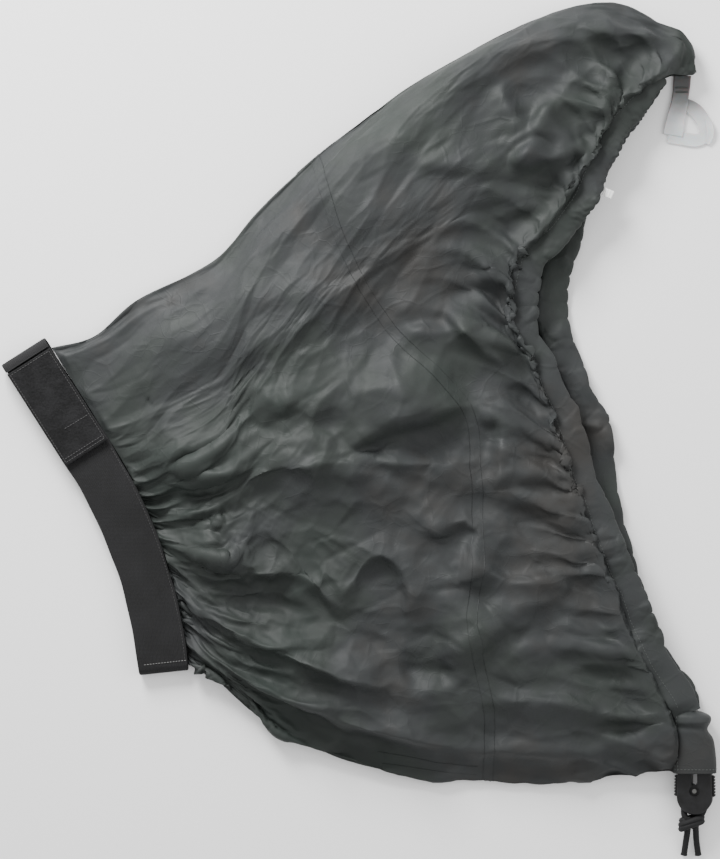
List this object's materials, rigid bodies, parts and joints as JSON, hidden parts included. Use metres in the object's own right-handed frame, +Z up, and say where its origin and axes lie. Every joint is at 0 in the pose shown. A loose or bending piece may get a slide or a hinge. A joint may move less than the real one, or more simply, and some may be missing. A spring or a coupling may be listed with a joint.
{
  "type": "kayak spray skirt",
  "caption": "Folded kayak spray skirt: tunnel with elastic waistband and closure tab, deck with shock-cord rim, roller cord lock, knot and grab loop.",
  "frame": {"origin": "middle of the footprint of the cloth, waistband and cord lock, on the ground", "axes": "+Z up from the ground to the upper, right-hand layer; +Y to the front of the deck, so the cord lock at the rear points to -Y; -X to the waist"},
  "size_m": [0.712, 0.8531, 0.0643],
  "materials": {
    "coated_nylon": "crinkled, slightly glossy coated nylon",
    "seam": "felled seam in the same nylon",
    "elastic": "ribbed woven elastic",
    "pile": "fuzzy pile",
    "hook": "hook tape",
    "shock_cord": "braided sheath",
    "webbing": "thin pale ribbon",
    "thread": "stitching",
    "label": "satin tape",
    "lock_plastic": "fine moulded texture",
    "pin_metal": "satin"
  },
  "bodies": {
    "skirt": {"waistband_elastic": "elastic", "waist_pile_patch": "pile", "tunnel_right": "coated_nylon", "tunnel_left": "coated_nylon", "deck_right": "coated_nylon", "deck_left": "coated_nylon", "deck_tunnel_seam_right": "seam", "deck_tunnel_seam_left": "seam", "tunnel_rear_seam": "seam", "rim_hem_right": "coated_nylon", "rim_hem_left": "coated_nylon", "rim_hem_front_turn": "coated_nylon", "hem_exit_sleeve": "coated_nylon", "rim_bungee": "shock_cord", "lock_top_cheek": "lock_plastic", "lock_bottom_cheek": "lock_plastic", "lock_grip_right": "lock_plastic", "lock_grip_left": "lock_plastic", "care_label": "label"},
    "closure": {"closure_tab": "elastic", "closure_hook_patch": "hook"},
    "loop": {"grab_loop": "webbing", "grab_loop_stitching": "thread"},
    "pull_cord": {"pull_strand_left": "shock_cord", "pull_strand_right": "shock_cord", "bungee_knot": "shock_cord", "bungee_tail_left": "shock_cord", "bungee_tail_right": "shock_cord"},
    "roller_carrier": {"lock_roller_pin": "pin_metal"},
    "roller": {"lock_roller": "lock_plastic"}
  },
  "joints": [
    {"name": "closure_lift", "type": "hinge", "parent": "skirt", "child": "closure", "pos_m": [-0.32893, 0.04631, 0.0193], "axis": [-0.8434, -0.5373, 0], "range_deg": [0, 115]},
    {"name": "grab_loop_lift", "type": "hinge", "parent": "skirt", "child": "loop", "pos_m": [0.326, 0.3276, 0.0008], "axis": [-1, 0, 0], "range_deg": [0, 90]},
    {"name": "cord_pull", "type": "slide", "parent": "skirt", "child": "pull_cord", "axis": [0, -1, 0], "range_m": [0, 0.06]},
    {"name": "roller_travel", "type": "slide", "parent": "skirt", "child": "roller_carrier", "axis": [0, 1, 0], "range_m": [0, 0.009]},
    {"name": "roller_spin", "type": "hinge", "parent": "roller_carrier", "child": "roller", "pos_m": [0.334, -0.381, 0.013], "axis": [-0.2079, 0, 0.9781], "continuous": true}
  ]
}
